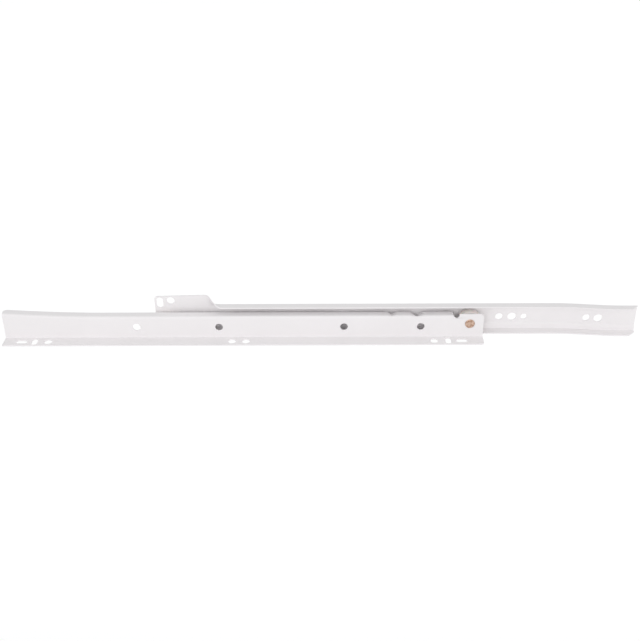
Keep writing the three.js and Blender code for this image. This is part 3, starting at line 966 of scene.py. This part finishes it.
def build_camera(context, studio):
    """The camera looks along +Y and down by its pitch, with a slight roll."""
    data = bpy.data.cameras.new("camera")
    data.sensor_fit = "HORIZONTAL"
    data.lens = studio.lens
    data.clip_end = 50
    camera = bpy.data.objects.new("camera", data)
    camera.location = studio.camera_place
    look = Euler((QUARTER - studio.camera_pitch, 0, 0)).to_matrix()
    roll = Euler((0, 0, studio.camera_roll)).to_matrix()
    camera.rotation_euler = (look @ roll).to_euler()
    context.scene.collection.objects.link(camera)
    context.scene.camera = camera


# ---------------------------------------------------------------- operators


class SLIDE_OT_channel(bpy.types.Operator):
    """Build the channel that screws to the cabinet wall"""

    bl_idname = "slide.channel"
    bl_label = "Cabinet channel"

    def execute(self, context):
        piece = build_channel(context)
        coat = powder_coated_steel(context.scene.slide_finish)
        place(piece, "cabinet", "cabinet_profile", "powder_coated_steel", coat)
        return {"FINISHED"}


class SLIDE_OT_runner(bpy.types.Operator):
    """Build the profile that carries the drawer"""

    bl_idname = "slide.runner"
    bl_label = "Drawer profile"

    def execute(self, context):
        piece = build_runner(context)
        coat = powder_coated_steel(context.scene.slide_finish)
        place(piece, "drawer", "drawer_profile", "powder_coated_steel", coat)
        return {"FINISHED"}


class SLIDE_OT_rollers(bpy.types.Operator):
    """Build both nylon rollers"""

    bl_idname = "slide.rollers"
    bl_label = "Rollers"

    def execute(self, context):
        nylon = moulded_nylon(context.scene.slide_finish)
        for end in ("front", "rear"):
            piece = build_roller(context, end)
            round_edges(piece, 0.05 * MM, 1, TURNED_CORNER)
            place(piece, f"{end}_wheel", f"{end}_roller", "moulded_nylon", nylon)
        return {"FINISHED"}


class SLIDE_OT_rivets(bpy.types.Operator):
    """Build both shoulder rivets"""

    bl_idname = "slide.rivets"
    bl_label = "Axle rivets"

    def execute(self, context):
        for end, body in (("front", "cabinet"), ("rear", "drawer")):
            piece = build_rivet(context, end)
            round_edges(piece, 0.06 * MM, 2, TURNED_CORNER)
            name = f"passivated_steel_{end}"
            metal = passivated_steel(context.scene.slide_finish, name, axle_of(end)[0])
            place(piece, body, f"{end}_axle_rivet", "passivated_rivet_steel", metal)
        return {"FINISHED"}


class SLIDE_OT_washers(bpy.types.Operator):
    """Build both washers"""

    bl_idname = "slide.washers"
    bl_label = "Washers"

    def execute(self, context):
        zinc = zinc_plated_steel(context.scene.slide_finish)
        for end, body in (("front", "cabinet"), ("rear", "drawer")):
            piece = build_washer(context, end)
            round_edges(piece, 0.03 * MM, 1, TURNED_CORNER)
            place(piece, body, f"{end}_washer", "zinc_plated_washer_steel", zinc)
        return {"FINISHED"}


class SLIDE_OT_studio(bpy.types.Operator):
    """Set up the floor, the soft light and the camera"""

    bl_idname = "slide.studio"
    bl_label = "Studio"

    def execute(self, context):
        studio = context.scene.slide_studio
        build_floor(studio)
        build_lights(context, studio)
        build_camera(context, studio)
        context.scene.view_settings.view_transform = "Standard"
        return {"FINISHED"}


class SLIDE_PT_sidebar(bpy.types.Panel):
    """The slide's pieces and sizes in the sidebar"""

    bl_idname = "SLIDE_PT_sidebar"
    bl_label = "Drawer slide"
    bl_space_type = "VIEW_3D"
    bl_region_type = "UI"
    bl_category = "Drawer Slide"

    def draw(self, context):
        for operator in STEPS:
            self.layout.operator(operator.bl_idname)
        for group in GROUPS:
            box = self.layout.box()
            settings = getattr(context.scene, group)
            for name in settings.bl_rna.properties.keys():
                if name not in ("rna_type", "name"):
                    box.prop(settings, name)


GROUPS = {
    "slide_sheet": SlideSheet,
    "slide_channel": SlideChannel,
    "slide_runner": SlideRunner,
    "slide_axle": SlideAxle,
    "slide_finish": SlideFinish,
    "slide_studio": SlideStudio,
}
STEPS = (
    SLIDE_OT_channel,
    SLIDE_OT_runner,
    SLIDE_OT_rollers,
    SLIDE_OT_rivets,
    SLIDE_OT_washers,
    SLIDE_OT_studio,
)


def register():
    for group, kind in GROUPS.items():
        bpy.utils.register_class(kind)
        setattr(bpy.types.Scene, group, PointerProperty(type=kind))
    for operator in STEPS:
        bpy.utils.register_class(operator)
    bpy.utils.register_class(SLIDE_PT_sidebar)


def unregister():
    bpy.utils.unregister_class(SLIDE_PT_sidebar)
    for operator in reversed(STEPS):
        bpy.utils.unregister_class(operator)
    for group, kind in GROUPS.items():
        delattr(bpy.types.Scene, group)
        bpy.utils.unregister_class(kind)


def main():
    register()
    for operator in STEPS:
        group, name = operator.bl_idname.split(".")
        getattr(getattr(bpy.ops, group), name)()


if __name__ == "__main__":
    main()
